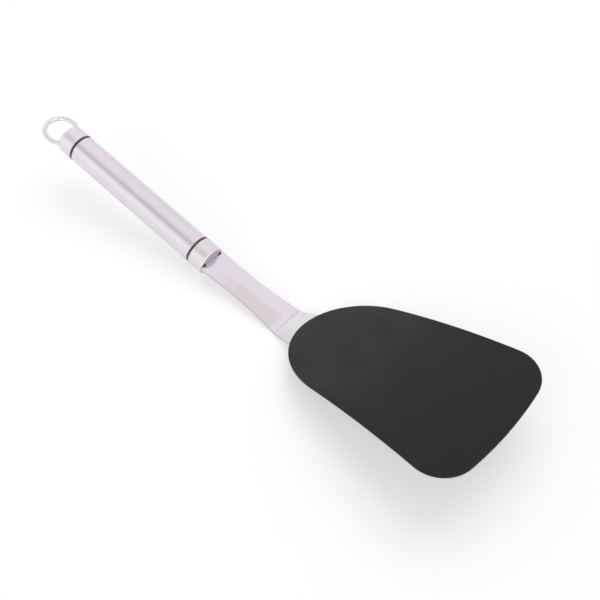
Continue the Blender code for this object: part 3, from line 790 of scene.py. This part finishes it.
satinTubeSteel = groundSteel("satinStainlessTube", satinTubeLook, across=True)
wireSteel = groundSteel("polishedStainlessWire", wireLook, across=False)
capSteel = groundSteel("brushedStainlessCap", capLook, across=True)
ferruleSteel = groundSteel("brushedStainlessFerrule", ferruleLook, across=True)
neckSteel = groundSteel("polishedStainlessStrip", neckLook, across=False)
springSteel = groundSteel("rolledSpringSteel", springLook, across=False)
blackNylon = mouldedNylon("mouldedBlackNylon", nylonLook)
blackSilicone = mouldedSilicone("mouldedBlackSilicone", siliconeLook)
print("finishes made")


makeHandleTube()
makeFerrule()
makeFrontPlug()
makeHangingLoop()
makeTailCap()
makeTailPlug()
print("handle made")
makeNeck()
makeBlade()
print("neck and blade made")

for name in ("tang_pin", "blade_core"):      # hidden inside, so they keep the frame's own meshes
    frame["nodes"][name].data.materials.clear()
    frame["nodes"][name].data.materials.append(springSteel)


studio = {
    "floorSize": 6.0, "floorColour": "#CCCCCC",
    "floorGlow": 0.475,      # whitens the floor where it is seen or mirrored; no light falls from it
    "fill": 0.55,            # the world's light on matt surfaces; seen directly it is 1, or as below in steel
    # what steel reflects round the handle's axis: degrees from straight up toward +x, brightness, and
    # green's share of it. A share under 1 tints the left side lilac, and one over 1 takes the lilac off
    # the right. The dim stretch is the gap between two overhead softboxes: the streak along the handle.
    "brightest": 2.0,        # a ramp's colours end at 1, so they are divided by this and multiplied back
    "reflected": [
        (-180, 1.0, 1.03), (-110, 0.86, 0.98), (-88, 0.88, 0.98), (-66, 0.96, 0.97), (-40, 1.0, 0.97),
        (-12, 1.02, 0.97), (4, 0.98, 0.97), (15, 0.84, 0.97), (24, 0.62, 0.97), (32, 0.62, 0.98),
        (41, 0.86, 0.99), (49, 1.02, 1.01), (62, 1.1, 1.03), (80, 1.1, 1.03), (104, 1.03, 1.03),
        (180, 1.0, 1.03)],
    # softboxes low in front of and behind the handle: the way to each, the cosine at which its edge
    # starts and how many times brighter it is; the edge is full panelEdge further in
    "panels": [((0.3, 0.9, 0.3), 0.7, 2.0), ((-0.48, -0.86, 0.15), 0.8, 1.12)],
    "panelEdge": 0.2,
}


def seenDirectly(tree):
    # 1 for camera, glossy and transmission rays, and then 1 for glossy rays alone
    rays = addNode(tree, "ShaderNodeLightPath")
    seen = addNode(tree, "ShaderNodeMath", {
        0: rays.outputs["Is Camera Ray"], 1: rays.outputs["Is Glossy Ray"]}, operation="MAXIMUM")
    seen = addNode(tree, "ShaderNodeMath", {
        0: seen.outputs[0], 1: rays.outputs["Is Transmission Ray"]}, operation="MAXIMUM")
    return seen.outputs[0], rays.outputs["Is Glossy Ray"]


def makeFloor():
    shape = bmesh.new()
    half = studio["floorSize"] / 2
    corners = [(-half, -half, 0), (half, -half, 0), (half, half, 0), (-half, half, 0)]
    shape.faces.new([shape.verts.new(c) for c in corners])
    mesh = bpy.data.meshes.new("floor")
    shape.to_mesh(mesh)
    shape.free()
    floor = bpy.data.objects.new("floor", mesh)
    bpy.context.scene.collection.objects.link(floor)
    made, tree = startMaterial("palePaper")
    seen, _ = seenDirectly(tree)
    paper = addNode(tree, "ShaderNodeBsdfDiffuse", {"Color": linear(studio["floorColour"])})
    glow = addNode(tree, "ShaderNodeMath", {0: seen, 1: studio["floorGlow"]}, operation="MULTIPLY")
    light = addNode(tree, "ShaderNodeEmission", {"Strength": glow.outputs[0]})
    both = addNode(tree, "ShaderNodeAddShader", {0: paper.outputs[0], 1: light.outputs[0]})
    addNode(tree, "ShaderNodeOutputMaterial", {"Surface": both.outputs[0]})
    mesh.materials.append(made)


def makeWorld():
    world = bpy.data.worlds.new("whiteStudio")
    bpy.context.scene.world = world
    world.use_nodes = True
    tree = world.node_tree
    tree.nodes.clear()
    seen, glossy = seenDirectly(tree)
    plain = addNode(tree, "ShaderNodeMapRange", {"Value": seen, "To Min": studio["fill"], "To Max": 1.0})
    direction = addNode(tree, "ShaderNodeTexCoord").outputs["Generated"]
    axes = handleSpace.to_3x3()
    sideways, upward = [
        addNode(tree, "ShaderNodeVectorMath", {0: direction, 1: axis}, operation="DOT_PRODUCT")
        for axis in (axes.col[0], axes.col[2])]
    around = addNode(tree, "ShaderNodeMath", {
        0: sideways.outputs["Value"], 1: upward.outputs["Value"]}, operation="ARCTAN2")
    turnShare = addNode(tree, "ShaderNodeMapRange", {
        "Value": around.outputs[0], "From Min": -math.pi, "From Max": math.pi})
    ramp = addNode(tree, "ShaderNodeValToRGB", {"Fac": turnShare.outputs[0]})
    stops = ramp.color_ramp.elements
    while len(stops) > 1:
        stops.remove(stops[-1])
    strength = studio["brightest"]
    for i, (angle, level, green) in enumerate(studio["reflected"]):
        position = (angle + 180) / 360
        stop = stops[0] if i == 0 else stops.new(position)
        stop.position = position
        stop.color = (level / strength, level * green / strength, level / strength, 1)
    for place, edge, level in studio["panels"]:
        toward = addNode(tree, "ShaderNodeVectorMath", {
            0: direction, 1: axes @ Vector(place).normalized()}, operation="DOT_PRODUCT")
        panel = addNode(tree, "ShaderNodeMapRange", {
            "Value": toward.outputs["Value"], "From Min": edge, "From Max": edge + studio["panelEdge"],
            "To Min": 1.0, "To Max": level}, interpolation_type="SMOOTHSTEP")
        strength = addNode(tree, "ShaderNodeMath", {
            0: panel.outputs[0], 1: strength}, operation="MULTIPLY").outputs[0]
    colour = addNode(tree, "ShaderNodeMix", {
        "Factor": glossy, 6: (1, 1, 1, 1), 7: ramp.outputs["Color"]}, data_type="RGBA")
    strength = addNode(tree, "ShaderNodeMix", {"Factor": glossy, 2: plain.outputs[0], 3: strength})
    light = addNode(tree, "ShaderNodeBackground", {
        "Color": colour.outputs[2], "Strength": strength.outputs[0]})
    addNode(tree, "ShaderNodeOutputWorld", {"Surface": light.outputs[0]})


lamps = {
    # place, aim and size in metres; level is the softbox's own brightness, where 1 is white
    "overheadSoftbox": {"place": (-0.55, -0.1, 1.15), "aim": (0, 0, 0), "size": 1.1, "level": 1.5},
    "sideSoftbox": {"place": (1.1, 0.1, 0.55), "aim": (0, 0, 0.02), "size": 0.9, "level": 1.25},
}


def makeLamps():
    for name, lamp in lamps.items():
        data = bpy.data.lights.new(name, "AREA")
        data.shape = "SQUARE"
        data.size = lamp["size"]
        data.energy = lamp["level"] * math.pi * lamp["size"] ** 2
        light = bpy.data.objects.new(name, data)
        bpy.context.scene.collection.objects.link(light)
        light.location = lamp["place"]
        aim = Vector(lamp["aim"]) - Vector(lamp["place"])
        light.rotation_mode = "QUATERNION"
        light.rotation_quaternion = aim.to_track_quat("-Z", "Y")
        light.visible_camera = False
        light.visible_glossy = False      # steel reflects the world's softboxes instead


# the photograph's view, from in front on the right and well above, in degrees and millimetres
photoView = {
    "azimuth": 130.98, "elevation": 50.63, "distance": 582.85, "aim": (-6.27, 33.32, 20.0), "roll": 0.25,
    "lens": 60.0,
}


def makeCamera():
    data = bpy.data.cameras.new("photoCamera")
    data.lens = photoView["lens"]
    data.sensor_width = 36
    data.clip_start = 0.01
    data.clip_end = 20
    camera = bpy.data.objects.new("photoCamera", data)
    bpy.context.scene.collection.objects.link(camera)
    azimuth = math.radians(photoView["azimuth"])
    elevation = math.radians(photoView["elevation"])
    back = Vector((
        math.sin(azimuth) * math.cos(elevation), -math.cos(azimuth) * math.cos(elevation),
        math.sin(elevation)))
    camera.location = (Vector(photoView["aim"]) + back * photoView["distance"]) * mm
    camera.rotation_mode = "QUATERNION"
    roll = Quaternion((0, 0, 1), math.radians(photoView["roll"]))
    camera.rotation_quaternion = (-back).to_track_quat("-Z", "Y") @ roll
    bpy.context.scene.camera = camera


makeFloor()
makeWorld()
makeLamps()
makeCamera()
bpy.context.scene.view_settings.view_transform = "Standard"
print("studio made")
